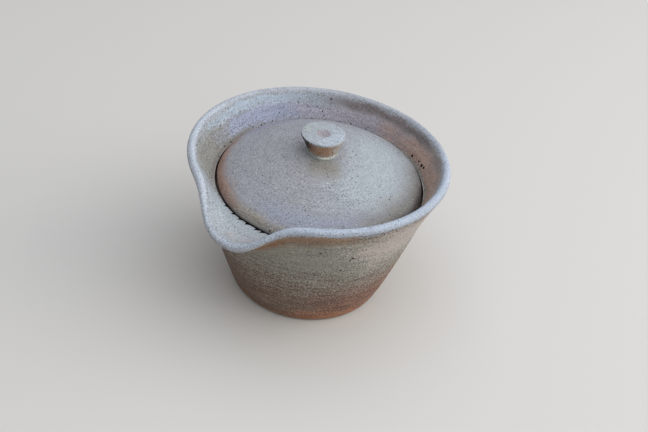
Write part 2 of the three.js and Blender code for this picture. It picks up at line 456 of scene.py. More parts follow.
def skin_relief(add: Adder, given: Outputs) -> Socket:
    """Moves the form's points in and out, and shades what is round as round.

    Args:
        add: Adds a node to the skin's tree.
        given: What comes into it.

    Returns:
        The geometry of the roughened form.
    """
    place = add("GeometryNodeInputPosition")[0]
    run, free = (add(NAMED, {"Name": name}, data_type="FLOAT")[0] for name in ("run", "free"))
    noises = {}
    for name, detail in (("Waver", 1.0), ("Grit", 3.0)):
        scale = add(MATHS, {0: 1.0, 1: given[f"{name} Size"]}, operation="DIVIDE")[0]
        noise = add(NOISE, {"Detail": detail, "Vector": place, "Scale": scale})[0]
        noises[name] = add(MATHS, {0: noise, 1: NOISE_GAIN, 2: -NOISE_GAIN / 2}, operation="MULTIPLY_ADD")[0]
    rings = add(MATHS, {0: run, 1: given["Ring Pitch"]}, operation="DIVIDE")[0]
    phase = add(MATHS, {0: rings, 1: math.tau, 2: noises["Waver"]}, operation="MULTIPLY_ADD")[0]
    wave = add(MATHS, {0: phase}, operation="SINE")[0]
    fading = add(MATHS, {0: noises["Waver"], 1: 0.5, 2: 0.5}, operation="MULTIPLY_ADD")[0]
    ring = add(MATHS, {0: wave, 1: fading}, operation="MULTIPLY")[0]
    lift = add(MATHS, {0: ring, 1: given["Ring Depth"]}, operation="MULTIPLY")[0]
    for name, noise in noises.items():
        lift = add(MATHS, {0: noise, 1: given[f"{name} Depth"], 2: lift}, operation="MULTIPLY_ADD")[0]
    allowed = add(MATHS, {0: lift, 1: free}, operation="MULTIPLY")[0]
    outwards = add("GeometryNodeInputNormal")[0]
    offset = add(VECTORS, {0: outwards, "Scale": allowed}, operation="SCALE")[0]
    moved = add("GeometryNodeSetPosition", {"Geometry": given["Geometry"], "Offset": offset})[0]
    smooth = add("GeometryNodeSetShadeSmooth", {0: moved}, domain="FACE")[0]
    bend = add("GeometryNodeInputMeshEdgeAngle")["Unsigned Angle"]
    settings = {"data_type": "FLOAT", "operation": "GREATER_THAN"}
    sharp = add("FunctionNodeCompare", {0: bend, 1: given["Sharpest Round"]}, **settings)[0]
    return add("GeometryNodeSetShadeSmooth", {0: smooth, 1: sharp, 2: False}, domain="EDGE")[0]


def skin_grains(add: Adder, given: Outputs, clay: Socket) -> list[Socket]:
    """Sets flat grains into the skin, at random and at the marks.

    Args:
        add: Adds a node to the skin's tree.
        given: What comes into it.
        clay: The geometry of the roughened form.

    Returns:
        The geometries of the random grains and of the marked ones.
    """
    seed = given["Seed"]
    free, marked_radius, marked_grain = (
        add(NAMED, {"Name": name}, data_type="FLOAT")[0] for name in ("free", "radius", "grain")
    )
    settings = {"data_type": "FLOAT", "operation": "GREATER_THAN"}
    open_skin = add("FunctionNodeCompare", {0: free, 1: OPEN_SKIN}, **settings)[0]
    inputs = {"Mesh": clay, "Selection": open_skin, "Density": given["Grain Density"], "Seed": seed}
    strewn = add("GeometryNodeDistributePointsOnFaces", inputs)
    inputs = {2: given["Grain Least"], 3: given["Grain Most"], "Seed": seed}
    width = add("FunctionNodeRandomValue", inputs, data_type="FLOAT")[1]
    inputs = {2: 0.0, 3: 1.0, "Seed": seed, "ID": strewn["Rotation"]}
    draw = add("FunctionNodeRandomValue", inputs, data_type="FLOAT")[1]
    iron = add(MATHS, {0: draw, 1: given["Iron Share"]}, operation="LESS_THAN")[0]
    pale = Grain.FELDSPAR.value
    kind = add(MATHS, {0: iron, 1: Grain.IRON.value - pale, 2: pale}, operation="MULTIPLY_ADD")[0]
    marks = add("GeometryNodeObjectInfo", {"Object": given["Marks"]})["Geometry"]
    nearest = add("GeometryNodeProximity", {0: clay}, target_element="FACES")["Position"]
    settled = add("GeometryNodeSetPosition", {"Geometry": marks, "Position": nearest})[0]
    place = add("GeometryNodeInputPosition")[0]
    upward = add("GeometryNodeInputNormal")[0]
    inputs = {"Mesh": clay, "Sample Position": place, 1: upward}
    normal = add("GeometryNodeSampleNearestSurface", inputs, data_type="FLOAT_VECTOR")[0]
    facing = add("FunctionNodeAlignRotationToVector", {"Vector": normal}, axis="Z")[0]
    bead = add("GeometryNodeMeshIcoSphere", {"Radius": 1.0, "Subdivisions": 1})["Mesh"]
    sets = []
    for points, rotation, radius, grain in (
        (strewn["Points"], strewn["Rotation"], width, kind),
        (settled, facing, marked_radius, marked_grain),
    ):
        height = add(MATHS, {0: radius, 1: given["Grain Flatness"]}, operation="MULTIPLY")[0]
        shape = add("ShaderNodeCombineXYZ", {"X": radius, "Y": radius, "Z": height})[0]
        inputs = {"Name": "grain", "Geometry": points, "Value": grain}
        named = add(STORE, inputs, data_type="FLOAT", domain="POINT")[0]
        inputs = {"Points": named, "Instance": bead, "Rotation": rotation, "Scale": shape}
        sets.append(add("GeometryNodeInstanceOnPoints", inputs)[0])
    return sets


@dataclass(frozen=True)
class Clay:
    """The skin that a potter's hands and the clay body leave, the same all over the pot.

    Attributes:
        ring_pitch: The distance from one throwing ring to the next.
        ring_depth: How deep a ring is.
        waver_size: The size of the slow unevenness.
        waver_depth: Its depth.
        grit_size: The size of the grit that roughens the skin.
        grit_depth: Its depth.
        grain_density: Loose mineral grains on a square centimetre.
        grain_least: The least radius of a grain.
        grain_most: The greatest radius of a grain.
        grain_flatness: A grain's height as a share of its width.
        iron_share: The share of the grains that are iron. The rest is feldspar.
        sharpest_round: The largest angle between two faces of a round, in degrees.
    """

    ring_pitch: float = 3.4
    ring_depth: float = 0.04
    waver_size: float = 28.0
    waver_depth: float = 0.1
    grit_size: float = 1.5
    grit_depth: float = 0.06
    grain_density: float = 6.0
    grain_least: float = 0.1
    grain_most: float = 0.24
    grain_flatness: float = 0.4
    iron_share: float = 0.5
    sharpest_round: float = 38.0

    def values(self) -> dict[str, float]:
        """The skin recipe's sizes, in metres and radians."""
        lengths = {name: getattr(self, name.lower().replace(" ", "_")) * MM for name in SKIN_LENGTHS}
        return lengths | {
            "Grain Density": self.grain_density * SQUARE_CM_IN_SQUARE_M,
            "Grain Flatness": self.grain_flatness,
            "Iron Share": self.iron_share,
            "Sharpest Round": math.radians(self.sharpest_round),
        }


@dataclass(frozen=True)
class Stoneware:
    """Wood-fired stoneware: thrown, unglazed and dry to the touch, so it has no gloss.

    Fly ash lies on the clay as a pale haze. It is thin, so it breaks up into fine specks at its edges,
    and it follows the throwing rings. Where it is missing the clay is flashed brown to orange.

    Attributes:
        name: The material's name.
        clay: The colour of the bare clay.
        patches: What the fire laid over it, and the painted shade and highlights, in order.
        axis: The place of the piece's own axis.
        warp_size: The size of the wander of a patch's edge.
        warp_turn: How far an edge wanders round the piece, in degrees.
        warp_zone: How far it wanders along the section, in zones.
        streak: The length and height of the streaks that follow the rings.
        usual_radius: The radius at which a streak has its length.
        speck: The size of the specks that haze breaks up into. Ash is finer, but would not show.
        breaking: How strongly specks and streaks break a patch up where it is half there.
        side_fade: The share of a patch's spread over which it fades sideways, inwards and outwards.
        crispness: The shares of a patch between which a speck changes colour.
        tooth: How strongly specks and streaks darken and lighten the bare clay.
        paleness: The lightness below which the clay is bare, and the one of the palest ash.
        smoothness: The share of the tooth that is left on the palest ash.
        flecks: Iron and feldspar that lie level with the skin.
        fleck_edge: The width of a fleck's soft edge, as a share of its spacing.
        roughness: Of the dry skin.
        refraction: Its index of refraction, the usual one of fired clay.
        bump: The strength and height of what the specks add to the light on the skin.
    """

    name: str
    clay: str
    patches: tuple[Patch, ...]
    axis: tuple[float, float] = (0.0, 0.0)
    warp_size: float = 11.0
    warp_turn: float = 12.0
    warp_zone: float = 0.06
    streak: tuple[float, float] = (14.0, 1.5)
    usual_radius: float = 45.0
    speck: float = 0.6
    breaking: tuple[float, float] = (8.0, 1.5)
    side_fade: float = 0.5
    crispness: tuple[float, float] = (0.15, 0.85)
    tooth: tuple[float, float] = (2.0, 0.5)
    paleness: tuple[float, float] = (0.15, 0.5)
    smoothness: float = 0.45
    flecks: tuple[Fleck, ...] = (Fleck("453b37", 1.2, 0.34, 0.65), Fleck("d5d2ca", 1.7, 0.22, 0.5))
    fleck_edge: float = 0.08
    roughness: float = 0.85
    refraction: float = 1.5
    bump: tuple[float, float] = (0.35, 0.15)

    def make(self) -> bpy.types.Material:
        """Builds the material's tree.

        Returns:
            The material.
        """
        material = bpy.data.materials.new(self.name)
        material.use_nodes = True
        material.node_tree.nodes.clear()
        add = partial(add_node, material.node_tree)
        skin = self.bearings(add)
        noises = self.specks_and_streaks(add, skin)
        skin["broken"], tone = (
            self.weighed(add, noises, weights) for weights in (self.breaking, self.tooth)
        )
        colour = add("ShaderNodeRGB")[0]
        colour.default_value = linear(self.clay)
        for patch in self.patches:
            share = self.patch_share(add, skin, patch)
            colour = add(MIX, {"Factor": share, 6: colour, 7: linear(patch.colour)}, data_type="RGBA")[2]
        lightness = add("ShaderNodeRGBToBW", {"Color": colour})[0]
        bare_below, palest = self.paleness
        bare = add(MAP, {0: lightness, 1: bare_below, 2: palest, 3: 1.0, 4: self.smoothness})[0]
        lit = add(MATHS, {0: tone, 1: bare, 2: 1.0}, operation="MULTIPLY_ADD")[0]
        colour = add(VECTORS, {0: colour, "Scale": lit}, operation="SCALE")[0]
        colour = self.minerals(add, skin, colour)
        strength, height = self.bump
        inputs = {"Strength": strength, "Distance": height * MM, "Height": noises[0]}
        normal = add("ShaderNodeBump", inputs)[0]
        inputs = {"Base Color": colour, "Normal": normal, "Roughness": self.roughness, "IOR": self.refraction}
        shader = add("ShaderNodeBsdfPrincipled", inputs)["BSDF"]
        add("ShaderNodeOutputMaterial", {"Surface": shader})
        return material

    def bearings(self, add: Adder) -> dict[str, Socket]:
        """What the material reads at each place.

        Args:
            add: Adds a node to the material's tree.

        Returns:
            The sockets of the place, of its run and grain, of its way, the level direction from the axis,
            of its zone, which wanders, and of bend, the wander of an edge round the piece.
        """
        place = add("ShaderNodeTexCoord")["Object"]
        zone, run, grain = (
            add("ShaderNodeAttribute", attribute_name=name)["Fac"]
            for name in ("zone", "run", "grain")
        )
        offset = (-self.axis[0] * MM, -self.axis[1] * MM, 0.0)
        level = add("ShaderNodeMapping", {"Vector": place, "Location": offset, "Scale": (1.0, 1.0, 0.0)})[0]
        way = add(VECTORS, {0: level}, operation="NORMALIZE")[0]
        slow = add(NOISE, {"Vector": place, "Scale": 1 / (self.warp_size * MM), "Detail": 2.0})["Color"]
        wander = add("ShaderNodeSeparateColor", {"Color": slow})
        turn = math.radians(self.warp_turn)
        bend, shift = (
            add(MATHS, {0: wander[i], 1: 2 * far, 2: -far}, operation="MULTIPLY_ADD")[0]
            for i, far in ((1, turn * NOISE_GAIN / 2), (0, self.warp_zone * NOISE_GAIN / 2))
        )
        zone = add(MATHS, {0: zone, 1: shift}, operation="ADD")[0]
        return {"place": place, "run": run, "grain": grain, "way": way, "zone": zone, "bend": bend}

    def specks_and_streaks(self, add: Adder, skin: dict[str, Socket]) -> list[Socket]:
        """The two noises that everything on the skin is broken up by.

        Args:
            add: Adds a node to the material's tree.
            skin: What it reads at each place.

        Returns:
            The fine specks, and the streaks along the rings.
        """
        length, height = self.streak
        squeeze = self.usual_radius * height / length * MM
        around = add(VECTORS, {0: skin["way"], "Scale": squeeze}, operation="SCALE")[0]
        along = add("ShaderNodeCombineXYZ", {"Z": skin["run"]})[0]
        ringed = add(VECTORS, {0: around, 1: along}, operation="ADD")[0]
        return [
            add(NOISE, {"Vector": source, "Scale": 1 / (size * MM), "Detail": 1.5})["Fac"]
            for size, source in ((self.speck, skin["place"]), (height, ringed))
        ]

    def weighed(self, add: Adder, noises: list[Socket], weights: tuple[float, float]) -> Socket:
        """The sum of two noises about their middle, each times its weight.

        Args:
            add: Adds a node to the material's tree.
            noises: The noises.
            weights: Their weights.

        Returns:
            The sum's socket.
        """
        second = add(MATHS, {0: noises[1], 1: weights[1], 2: -sum(weights) / 2}, operation="MULTIPLY_ADD")[0]
        return add(MATHS, {0: noises[0], 1: weights[0], 2: second}, operation="MULTIPLY_ADD")[0]

    def patch_share(self, add: Adder, skin: dict[str, Socket], patch: Patch) -> Socket:
        """Where a patch lies: wholly in its middle, and in specks where it is half there.

        Args:
            add: Adds a node to the material's tree.
            skin: What it reads at each place.
            patch: The patch.

        Returns:
            The patch's share of the skin, 0 to 1.
        """
        off = add(MATHS, {0: skin["zone"], 1: patch.zone}, operation="SUBTRACT")[0]
        off = add(MATHS, {0: off}, operation="ABSOLUTE")[0]
        ends = (patch.reach * (1 + patch.fade), patch.reach * (1 - patch.fade))
        share = add(MAP, {0: off, 1: ends[0], 2: ends[1]})[0]
        if patch.spread < HALF_TURN:
            turn = math.radians(patch.angle)
            facing = (math.sin(turn), -math.cos(turn), 0.0)
            near = add(VECTORS, {0: skin["way"], 1: facing}, operation="DOT_PRODUCT")["Value"]
            apart = add(MATHS, {0: near}, operation="ARCCOSINE")[0]
            apart = add(MATHS, {0: apart, 1: skin["bend"]}, operation="ADD")[0]
            spread = math.radians(patch.spread)
            ends = (spread * (1 + self.side_fade), spread * (1 - self.side_fade))
            side = add(MAP, {0: apart, 1: ends[0], 2: ends[1]})[0]
            share = add(MATHS, {0: share, 1: side}, operation="MULTIPLY")[0]
        share = add(MATHS, {0: share, 1: patch.cover}, operation="MULTIPLY")[0]
        # Specks count most where the patch is half there, and not at all where it is whole or missing.
        squared = add(MATHS, {0: share, 1: share}, operation="MULTIPLY")[0]
        mixed = add(MATHS, {0: share, 1: squared}, operation="SUBTRACT")[0]
        share = add(MATHS, {0: mixed, 1: skin["broken"], 2: share}, operation="MULTIPLY_ADD")[0]
        inputs = {0: share, 1: self.crispness[0], 2: self.crispness[1]}
        return add(MAP, inputs, interpolation_type="SMOOTHSTEP")[0]

    def minerals(self, add: Adder, skin: dict[str, Socket], colour: Socket) -> Socket:
        """Strews the flecks over the skin, and colours the grains that stand in it.

        Args:
            add: Adds a node to the material's tree.
            skin: What it reads at each place.
            colour: The colour so far.

        Returns:
            The colour's socket.
        """
        shares = []
        for fleck in self.flecks:
            cells = add("ShaderNodeTexVoronoi", {"Vector": skin["place"], "Scale": 1 / (fleck.spacing * MM)})
            chance = add("ShaderNodeSeparateColor", {"Color": cells["Color"]})[0]
            inputs = {0: chance, 1: 2 * fleck.largest, 2: -fleck.largest}
            width = add(MATHS, inputs, operation="MULTIPLY_ADD")[0]
            depth = add(MATHS, {0: width, 1: cells["Distance"]}, operation="SUBTRACT")[0]
            share = add(MAP, {0: depth, 1: 0.0, 2: self.fleck_edge, 4: fleck.strength})[0]
            shares.append((share, fleck.colour))
        for kind, tint in GRAIN_COLOURS.items():
            inputs = {0: skin["grain"], 1: kind.value, 2: GRAIN_ROOM}
            shares.append((add(MATHS, inputs, operation="COMPARE")[0], tint))
        for share, tint in shares:
            colour = add(MIX, {"Factor": share, 6: colour, 7: linear(tint)}, data_type="RGBA")[2]
        return colour


@dataclass
class Potter:
    """The recipes that the pieces share.

    Attributes:
        clay: The sizes of the skin.
        turning: Turns a profile.
        notching: Cuts notches.
        skin: Lays the skin of thrown clay.
    """

    clay: Clay = field(default_factory=Clay)
    turning: Recipe = field(default_factory=turning_recipe)
    notching: Recipe = field(default_factory=notching_recipe)
    skin: Recipe = field(default_factory=skin_recipe)


@dataclass
class Thrown:
    """What the bowl, the lid and the knob have in common.

    Attributes:
        name: The piece's name.
        facets: Columns of faces round it.
        place: Where its foot stands.
        seed: The seed of its grains.
        slack: Zones, each with how freely the skin moves there, from 0 to 1.
        marks: The pits, spots and grains that are seen by themselves.
    """

    name: str = ""
    facets: int = 360
    place: tuple[float, float, float] = (0.0, 0.0, 0.0)
    seed: int = 0
    slack: Pairs = ((0.0, 1.0),)
    marks: tuple[Mark, ...] = ()

    def section(self, angle: np.ndarray) -> Section:
        """Its section at each angle, in radians."""
        raise NotImplementedError

    def skin_values(self, section: Section) -> dict[str, np.ndarray]:
        """What the skin carries at each point of a section: zone, run and freedom to move."""
        zones = section.zones()
        return {"zone": zones, "run": section.run() * MM, "free": np.interp(zones, *zip(*self.slack))}

    def lay_skin(self, piece: bpy.types.Object, potter: Potter, material: bpy.types.Material) -> None:
        """Lays the skin and the marks on the piece.

        Args:
            piece: The piece's form.
            potter: The recipe and the sizes of the skin.
            material: Its material.
        """
        spots = [
            self.section(np.radians([mark.angle])).spot(mark.angle, mark.zone) + Vector(self.place)
            for mark in self.marks
        ]
        mesh = bpy.data.meshes.new("marks")
        mesh.from_pydata([spot * MM for spot in spots], [], [])
        radii = [mark.radius * MM for mark in self.marks]
        store(mesh, {"radius": radii, "grain": [mark.grain.value for mark in self.marks]})
        points = new_piece("marks", mesh)
        values = {"Marks": points, "Seed": self.seed, "Material": material}
        potter.skin.apply(piece, potter.clay.values() | values)
        bpy.data.objects.remove(points)


@dataclass
class Turned(Thrown):
    """A piece whose section is the same all round, apart from how it leans.

    Attributes:
        lean: How far its top stands off its foot.
    """

    lean: tuple[float, float] = (0.0, 0.0)

    def build(self, potter: Potter, material: bpy.types.Material) -> bpy.types.Object:
        """Turns the piece and lays its skin.

        Args:
            potter: The recipes for turning and skin.
            material: Its material.

        Returns:
            The finished piece.
        """
        section = self.section(np.zeros(1))
        points = section.points()
        line = [(radius, -height, 0.0) for radius, height in points * MM]
        mesh = bpy.data.meshes.new(self.name)
        mesh.from_pydata(line, [(i, i + 1) for i in range(len(line) - 1)], [])
        store(mesh, self.skin_values(section))
        piece = new_piece(self.name, mesh)
        values = {
            "Facets": self.facets,
            "Pole Radius": TINY,
            "Lean": Vector((*self.lean, 0.0)) / float(points[:, 1].max()),
            "Place": Vector(self.place) * MM,
            "Material": material,
        }
        potter.turning.apply(piece, values)
        self.lay_skin(piece, potter, material)
        return piece


@dataclass
class LipSide:
    """One side of the pouring lip: how wide it spreads and how square its shoulder is."""

    half_angle: float
    squareness: float


@dataclass
class Bowl(Thrown):
    """The thrown bowl, with a flared collar, a pulled lip and a seat for the lid.

    Its zones are 0 foot, 1 wall, 2 collar, 3 rim, 4 inside of the collar and floor of the lip, 5 seat
    wall and ledge, 6 inner wall and 7 floor.

    Attributes:
        notch_angles: The strainer notches, round the middle of the seat.
        cut_zone: The zone of their cut faces, inside the painted shade of the seat.
        crowding: How far the columns of faces crowd towards the lip.
    """

    name: str = "thrown_bowl"
    facets: int = 380
    seed: int = 11
    slack: Pairs = ((0.95, 0), (1.05, 1), (4.9, 1), (5.0, 0), (6.0, 0), (6.2, 0.5), (7.5, 0.5), (8.0, 0))
    foot_radius: float = 33.2
    foot_chamfer: float = 1.2
    wall_height: float = 42.0
    wall_top_radius: float = 46.6
    wall_fullness: float = 0.858
    wall_thickness: float = 4.2
    floor_thickness: float = 5.0
    floor_round: float = 6.0
    rim_radius: float = 54.0
    rim_height: float = 65.6
    rim_width: float = 3.6
    collar_lean: float = 24.0
    rim_oval: float = 0.85
    rim_oval_turn: float = -61.0
    rim_dip: float = 0.5
    lip_reach: float = 7.45
    lip_drop: float = 11.2
    lip_lean: float = 65.0
    lip_left: LipSide = field(default_factory=lambda: LipSide(19.3, 2.75))
    lip_right: LipSide = field(default_factory=lambda: LipSide(15.6, 2.4))
    seat_shift: tuple[float, float] = (1.12, 0.6)
    seat_wall_radius: float = 44.25
    seat_wall_height: float = 2.1
    ledge_height: float = 49.4
    ledge_width: float = 5.0
    ledge_depth: float = 4.0
    notch_angles: tuple[float, ...] = (-21.5, -14.3, -9.0, -4.0, 2.5, 5.8, 11.0, 16.5, 21.5)
    notch_width: float = 1.3
    notch_depth: float = 1.6
    notch_overrun: float = 1.6
    notch_reach: float = 1.4
    notch_slant: float = 1.8
    notch_headroom: float = 3.0
    cut_zone: float = 5.42
    edge_round: float = 0.45
    crowding: float = 0.45
    marks: tuple[Mark, ...] = (
        Mark(-54.2, 4.03, 0.35),
        Mark(-78.2, 4.79, 0.5),
        Mark(-84.6, 4.88, 0.5),
        Mark(-68.1, 4.97, 0.4),
        Mark(-49.1, 4.65, 0.35),
        Mark(-46.7, 4.76, 0.4),
        Mark(-89.0, 4.68, 0.3),
        Mark(-110.0, 4.74, 0.45),
        Mark(-112.4, 4.71, 0.35),
        Mark(-117.4, 4.68, 0.4),
        Mark(-113.7, 4.47, 0.35, Grain.IRON),
        Mark(-122.4, 4.41, 0.35),
        Mark(-140.6, 4.38, 0.3),
        Mark(-147.3, 4.38, 0.4),
        Mark(-148.6, 4.5, 0.35),
        Mark(-151.3, 4.09, 0.55, Grain.IRON),
        Mark(-164.9, 4.62, 0.4),
        Mark(-174.5, 4.65, 0.35),
        Mark(150.0, 4.56, 0.8),
        Mark(143.3, 4.5, 0.65),
        Mark(139.3, 4.5, 0.9),
        Mark(136.7, 4.47, 0.8),
        Mark(121.2, 4.74, 0.45),
        Mark(52.5, 2.28, 0.7, Grain.IRON),
        Mark(51.5, 2.22, 0.5, Grain.IRON),
        Mark(36.7, 2.47, 0.5),
        Mark(38.9, 2.5, 0.4, Grain.IRON),
        Mark(31.1, 2.5, 0.35, Grain.IRON),
        Mark(48.3, 1.96, 0.45),
        Mark(64.2, 1.88, 0.4, Grain.FELDSPAR),
        Mark(45.1, 2.11, 0.3, Grain.FELDSPAR),
    )

    def wall_radius(self, height: float | np.ndarray) -> float | np.ndarray:
        """Radius of the outer wall at a height."""
        rise = (np.asarray(height) / self.wall_height) ** self.wall_fullness
        return self.foot_radius + (self.wall_top_radius - self.foot_radius) * rise

    def wall_point(self, height: float, inset: float = 0.0) -> np.ndarray:
        """The outer wall's point at a height, or one set in from it."""
        return np.array([float(self.wall_radius(height)) - inset, height])

    def angles(self) -> np.ndarray:
        """The angle of each column, in radians. They lie closer together at the lip."""
        turn = np.linspace(-math.pi, math.pi, self.facets, endpoint=False)
        return turn - self.crowding * np.sin(turn)

    def lip_share(self, angle: np.ndarray) -> np.ndarray:
        """How much of the lip's pull reaches each angle."""
        left, right = (
            np.exp(-((np.abs(angle) / math.radians(side.half_angle)) ** side.squareness))
            for side in (self.lip_left, self.lip_right)
        )
        return np.where(angle < 0, left, right)

    def seat_circle(self, radius: float, height: float, angle: np.ndarray) -> np.ndarray:
        """A circle round the middle of the seat.

        Args:
            radius: Its radius.
            height: Its height.
            angle: The angles of its points round the bowl's axis, in radians.

        Returns:
            Each point's radius from the bowl's axis, and its height.
        """
        x, y = self.seat_shift
        along = x * np.sin(angle) - y * np.cos(angle)
        across = x * np.cos(angle) + y * np.sin(angle)
        return np.stack([along + np.sqrt(radius**2 - across**2), np.full_like(angle, height)], axis=-1)

    def seat_top(self) -> float:
        """The height of the seat wall's upper edge."""
        return self.ledge_height + self.seat_wall_height

    def collar(self, angle: np.ndarray) -> list[np.ndarray]:
        """The collar's outside, the rim and the collar's inside at each angle.

        Args:
            angle: The angles, in radians.

        Returns:
            The points of the three stretches.
        """
        half = self.rim_width / 2
        share = self.lip_share(angle)
        lean = np.radians(self.collar_lean + (self.lip_lean - self.collar_lean) * share)
        oval = self.rim_oval * np.cos(2 * (angle - math.radians(self.rim_oval_turn)))
        dip = self.rim_dip * np.cos(2 * angle) + self.lip_drop * share
        out_by = self.rim_radius - half + oval + self.lip_reach * share
        middle = np.stack([out_by, self.rim_height - half - dip], axis=-1)
        up = np.stack([np.sin(lean), np.cos(lean)], axis=-1)
        out = np.stack([np.cos(lean), -np.sin(lean)], axis=-1)
        edge = middle + out * half

        root = self.wall_point(self.wall_height)
        slope = (self.wall_top_radius - self.foot_radius) * self.wall_fullness / self.wall_height
        root_way = np.array([slope, 1.0]) / math.hypot(slope, 1.0)
        pull = np.linalg.norm(edge - root, axis=-1, keepdims=True) / 3
        roots = np.broadcast_to(root, (len(angle), 2))
        outside = bezier([roots, root + root_way * pull, edge - up * pull, edge], steps=36)

        turn = np.linspace(0.0, math.pi, num=19)[:, None]
        rim = middle[:, None] + half * (np.cos(turn) * out[:, None] + np.sin(turn) * up[:, None])

        inner = middle - out * half
        seat = self.seat_circle(self.seat_wall_radius, self.seat_top(), angle)
        drop = inner[:, 1] - self.seat_top()
        foot_radius = np.maximum(inner[:, 0] - drop * up[:, 0] / up[:, 1], seat[:, 0])
        bend = np.stack([foot_radius, seat[:, 1]], axis=-1)
        inside = bezier([inner, bend, seat + np.array([self.edge_round, 0.0])], steps=34)
        return [outside, rim, inside]

    def section(self, angle: np.ndarray) -> Section:
        """The bowl's section at each angle.

        Args:
            angle: The angles, in radians.

        Returns:
            The sections, whose stretches are the bowl's zones.
        """
        chamfer = np.array([self.foot_chamfer, self.foot_chamfer])
        foot_edge = self.wall_point(self.foot_chamfer)
        foot = rounded([(0.0, 0.0), foot_edge - chamfer, foot_edge], self.edge_round)
        heights = np.linspace(self.foot_chamfer, self.wall_height, num=68)
        wall = np.stack([self.wall_radius(heights), heights], axis=-1)
        outside, rim, inside = self.collar(angle)

        seat = self.seat_circle(self.seat_wall_radius, self.seat_top(), angle)
        corner = self.seat_circle(self.seat_wall_radius, self.ledge_height, angle)
        ledge = self.seat_circle(self.seat_wall_radius - self.ledge_width, self.ledge_height, angle)
        well_top = self.ledge_height - self.ledge_depth
        well_start = np.broadcast_to(self.wall_point(well_top, self.wall_thickness), (len(angle), 2))
        ledges = rounded([inside[:, -1], seat, corner, ledge, well_start], self.edge_round)

        heights = np.linspace(well_top, self.floor_thickness + self.floor_round, num=22)
        well = np.stack([self.wall_radius(heights) - self.wall_thickness, heights], axis=-1)
        floor_edge = np.array([well[-1, 0] - self.floor_round, self.floor_thickness])
        floor_corner = self.wall_point(self.floor_thickness, self.wall_thickness)
        turn_in = bezier([well[-1], floor_corner, floor_edge], steps=8)
        flat = bezier([floor_edge, (0.0, self.floor_thickness)], steps=8)
        stretches = [foot, wall, outside, rim, inside, ledges, well, np.concatenate([turn_in, flat[1:]])]
        return Section([np.broadcast_to(part, (len(angle), *part.shape[-2:])) for part in stretches])

    def form(self) -> bpy.types.Mesh:
        """The closed mesh of the bowl before its notches and its skin.

        Returns:
            The mesh, in metres, with each point's zone, run and freedom to move.
        """
        angle = self.angles()
        section = self.section(angle)
        points = section.points()
        ring = points[:, 1:-1]
        rows = ring.shape[1]
        x = ring[..., 0] * np.sin(angle)[:, None]
        y = -ring[..., 0] * np.cos(angle)[:, None]
        around = np.stack([x, y, ring[..., 1]], axis=-1).reshape(-1, 3)
        poles = [(0.0, 0.0, points[0, 0, 1]), (0.0, 0.0, points[0, -1, 1])]
        here = len(poles) + np.arange(self.facets)[:, None] * rows + np.arange(rows)
        there = np.roll(here, -1, axis=0)
        quads = np.stack([here[:, :-1], there[:, :-1], there[:, 1:], here[:, 1:]], axis=-1).reshape(-1, 4)
        low = [(0, b, a) for a, b in zip(here[:, 0], there[:, 0])]
        high = [(1, a, b) for a, b in zip(here[:, -1], there[:, -1])]
        mesh = bpy.data.meshes.new("bowl_form")
        spots = (np.concatenate([poles, around]) * MM).tolist()
        mesh.from_pydata(spots, [], [*quads.tolist(), *low, *high])
        values = self.skin_values(section)
        for name, line in values.items():
            values[name] = np.concatenate([line[[0, -1]], np.tile(line[1:-1], self.facets)])
        store(mesh, values)
        return mesh

    def notch(self, piece: bpy.types.Object, notching: Recipe, material: bpy.types.Material) -> None:
        """Cuts the strainer notches into the seat under the lip.

        Args:
            piece: The bowl.
            notching: The recipe that cuts notches.
            material: The bowl's material.
        """
        top = self.seat_top() + self.notch_headroom
        bottom = self.ledge_height - self.notch_depth
        near = self.seat_wall_radius - self.ledge_width - self.notch_overrun
        mesh = bpy.data.meshes.new("notch_places")
        mesh.from_pydata([Vector((*self.seat_shift, 0.0)) * MM for _ in self.notch_angles], [], [])
        store(mesh, {"turn": np.radians(self.notch_angles)})
        places = new_piece("notch_places", mesh)
        sizes = {
            "Bar Size": (self.notch_width, self.seat_wall_radius - near, top - bottom),
            "Bar Middle": (0.0, -(self.seat_wall_radius + near) / 2, (top + bottom) / 2),
            "Edge Foot": (-self.notch_slant, -self.seat_wall_radius - self.notch_reach, self.seat_top()),
            "Edge Rise": (0.0, 0.0, self.notch_headroom),
        }
        values = {name: Vector(size) * MM for name, size in sizes.items()}
        notching.apply(piece, values | {"Places": places, "Cut Zone": self.cut_zone, "Material": material})
        bpy.data.objects.remove(places)

    def build(self, potter: Potter, material: bpy.types.Material) -> bpy.types.Object:
        """Makes the bowl.

        Args:
            potter: The recipes for notches and skin.
            material: The bowl's material.

        Returns:
            The finished piece.
        """
        piece = new_piece(self.name, self.form())
        self.notch(piece, potter.notching, material)
        self.lay_skin(piece, potter, material)
        return piece


